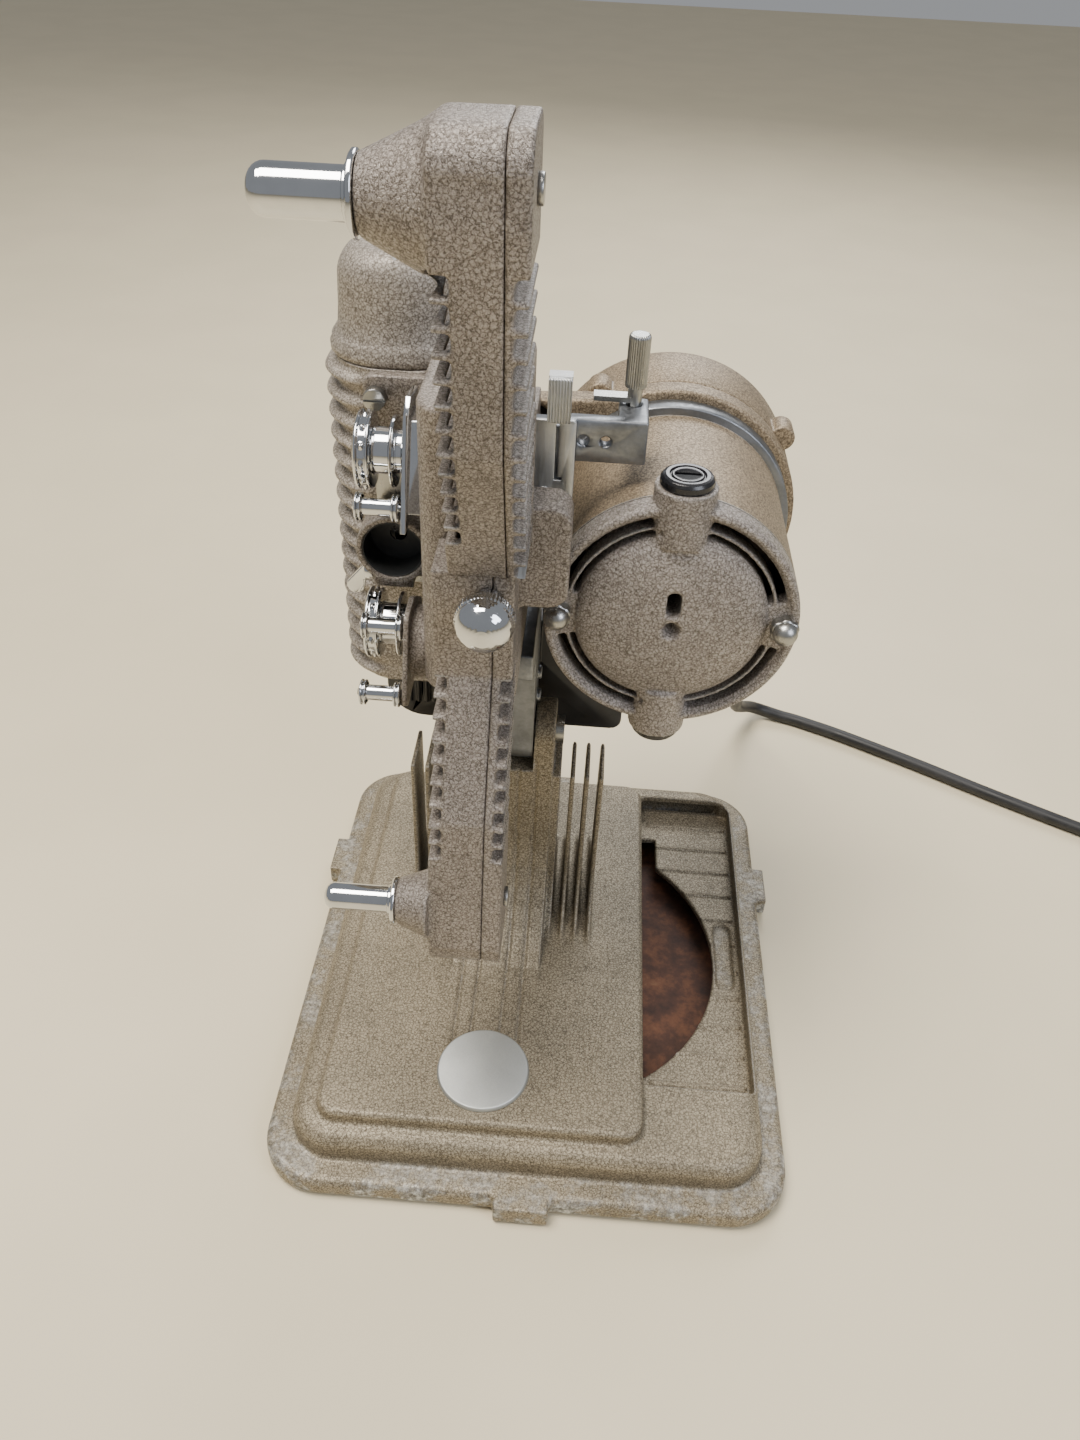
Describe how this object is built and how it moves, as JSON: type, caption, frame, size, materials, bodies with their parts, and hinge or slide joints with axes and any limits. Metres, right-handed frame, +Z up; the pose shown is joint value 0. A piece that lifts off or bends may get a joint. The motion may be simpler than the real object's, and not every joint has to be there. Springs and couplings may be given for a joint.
{
  "type": "cine film projector",
  "caption": "Table film projector for narrow home film: ribbed reel arms, finned lamp house and fan-cooled motor on a head that tilts on a cast base with a reel store; mains lead and plug.",
  "frame": {"origin": "on the table under the middle of the base", "axes": "+X to the motor side, -Y to the lens side, +Z up"},
  "size_m": [0.525, 0.2802, 0.3186],
  "materials": {
    "enamel": "taupe wrinkle enamel, semi-gloss",
    "bare_zinc": "bare die-cast alloy, dull grey",
    "rusty_plate": "dark brown rusty sheet",
    "rubber": "matt",
    "satin_badge": "satin, blank",
    "plain_steel": "brushed",
    "chrome": "polished",
    "black_phenolic": "semi-gloss",
    "lamp_glass": "clear",
    "cord_rubber": "matt"
  },
  "bodies": {
    "base": {"base_casting": "enamel", "base_plate": "rusty_plate", "foot_fl": "rubber", "foot_fr": "rubber", "foot_bl": "rubber", "foot_br": "rubber", "badge_plate": "satin_badge", "pivot_bolt": "plain_steel", "cord_tube": "cord_rubber", "cord_coil": "cord_rubber", "cord_tail": "cord_rubber", "plug": "cord_rubber"},
    "head": {"tilt_bracket": "bare_zinc", "mech_housing": "enamel", "upper_arm": "enamel", "upper_arm_cover": "enamel", "lower_arm": "enamel", "lower_arm_cover": "enamel", "arm_screws": "plain_steel", "sprocket_plate": "chrome", "lower_boss": "enamel", "lens_holder": "enamel", "gate_plate": "plain_steel", "lamp_house": "enamel", "lamp_front": "enamel", "thumbscrew": "plain_steel", "lamp_bulb": "lamp_glass", "lamp_socket": "plain_steel", "condenser": "lamp_glass", "motor_shell": "enamel", "motor_cover": "enamel", "brush_caps": "black_phenolic", "acorn_nuts": "chrome", "motor_field": "plain_steel", "drive_belt": "rubber", "motor_ring": "bare_zinc", "drive_case": "enamel", "blower_housing": "enamel", "selector_bracket": "bare_zinc", "selector_plate": "plain_steel", "switch_box": "black_phenolic", "strain_relief": "cord_rubber"},
    "cap": {"lamp_cap": "enamel"},
    "rotor": {"armature": "plain_steel", "fan_wheel": "plain_steel"},
    "shaft": {"main_shaft": "plain_steel", "threading_knob": "chrome", "driven_pulley": "black_phenolic"},
    "shutter": {"shutter_disc": "black_phenolic"},
    "sprocket_up": {"upper_sprocket": "chrome"},
    "sprocket_low": {"lower_sprocket": "chrome"},
    "roller_up": {"upper_roller": "chrome"},
    "roller_low_a": {"lower_roller_a": "chrome"},
    "roller_low_b": {"lower_roller_b": "chrome"},
    "feed": {"feed_spindle": "chrome"},
    "takeup": {"takeup_spindle": "chrome"},
    "slider": {"selector_slider": "chrome"},
    "post": {"clutch_post": "plain_steel"},
    "clamp": {"lens_lever": "chrome"},
    "speed": {"speed_knob": "black_phenolic"}
  },
  "joints": [
    {"name": "head_tilt", "type": "hinge", "parent": "base", "child": "head", "pos_m": [-0.0164, 0.022, 0.108], "axis": [-1, 0, 0], "range_deg": [0, 10]},
    {"name": "cap_lift", "type": "slide", "parent": "head", "child": "cap", "axis": [0, 0, 1], "range_m": [0, 0.04]},
    {"name": "motor_spin", "type": "hinge", "parent": "head", "child": "rotor", "pos_m": [0.031, 0, 0.186], "axis": [0, 1, 0], "continuous": true},
    {"name": "shaft_spin", "type": "hinge", "parent": "head", "child": "shaft", "pos_m": [-0.0175, 0, 0.208], "axis": [0, 1, 0], "continuous": true},
    {"name": "shutter_spin", "type": "hinge", "parent": "head", "child": "shutter", "pos_m": [-0.033, 0.013, 0.19], "axis": [0, 1, 0], "continuous": true},
    {"name": "upper_sprocket_spin", "type": "hinge", "parent": "head", "child": "sprocket_up", "pos_m": [-0.051, -0.003, 0.2236], "axis": [1, 0, 0], "continuous": true},
    {"name": "lower_sprocket_spin", "type": "hinge", "parent": "head", "child": "sprocket_low", "pos_m": [-0.051, -0.006, 0.1685], "axis": [1, 0, 0], "continuous": true},
    {"name": "upper_roller_spin", "type": "hinge", "parent": "head", "child": "roller_up", "pos_m": [-0.051, -0.0165, 0.2135], "axis": [1, 0, 0], "continuous": true},
    {"name": "lower_roller_a_spin", "type": "hinge", "parent": "head", "child": "roller_low_a", "pos_m": [-0.051, -0.0195, 0.1765], "axis": [1, 0, 0], "continuous": true},
    {"name": "lower_roller_b_spin", "type": "hinge", "parent": "head", "child": "roller_low_b", "pos_m": [-0.051, -0.028, 0.1585], "axis": [1, 0, 0], "continuous": true},
    {"name": "feed_spin", "type": "hinge", "parent": "head", "child": "feed", "pos_m": [-0.053, -0.0585, 0.303], "axis": [1, 0, 0], "continuous": true},
    {"name": "takeup_spin", "type": "hinge", "parent": "head", "child": "takeup", "pos_m": [-0.053, -0.0665, 0.112], "axis": [1, 0, 0], "continuous": true},
    {"name": "selector_slide", "type": "slide", "parent": "head", "child": "slider", "axis": [0, 0, -1], "range_m": [0, 0.01]},
    {"name": "clutch_turn", "type": "hinge", "parent": "head", "child": "post", "pos_m": [0.016, 0.005, 0.24], "axis": [0, 0, 1], "range_deg": [-20, 20]},
    {"name": "lens_clamp_turn", "type": "hinge", "parent": "head", "child": "clamp", "pos_m": [-0.06, 0.0075, 0.1785], "axis": [1, 0, 0], "range_deg": [-40, 60]},
    {"name": "speed_turn", "type": "hinge", "parent": "head", "child": "speed", "pos_m": [-0.04, 0.08, 0.11], "axis": [0, 1, 0], "range_deg": [0, 270]}
  ],
  "couplings": [
    {"joint": "shaft_spin", "follows": "motor_spin", "ratio": 0.5},
    {"joint": "shutter_spin", "follows": "motor_spin", "ratio": -0.5},
    {"joint": "upper_sprocket_spin", "follows": "motor_spin", "ratio": 0.041667},
    {"joint": "lower_sprocket_spin", "follows": "motor_spin", "ratio": 0.041667}
  ]
}
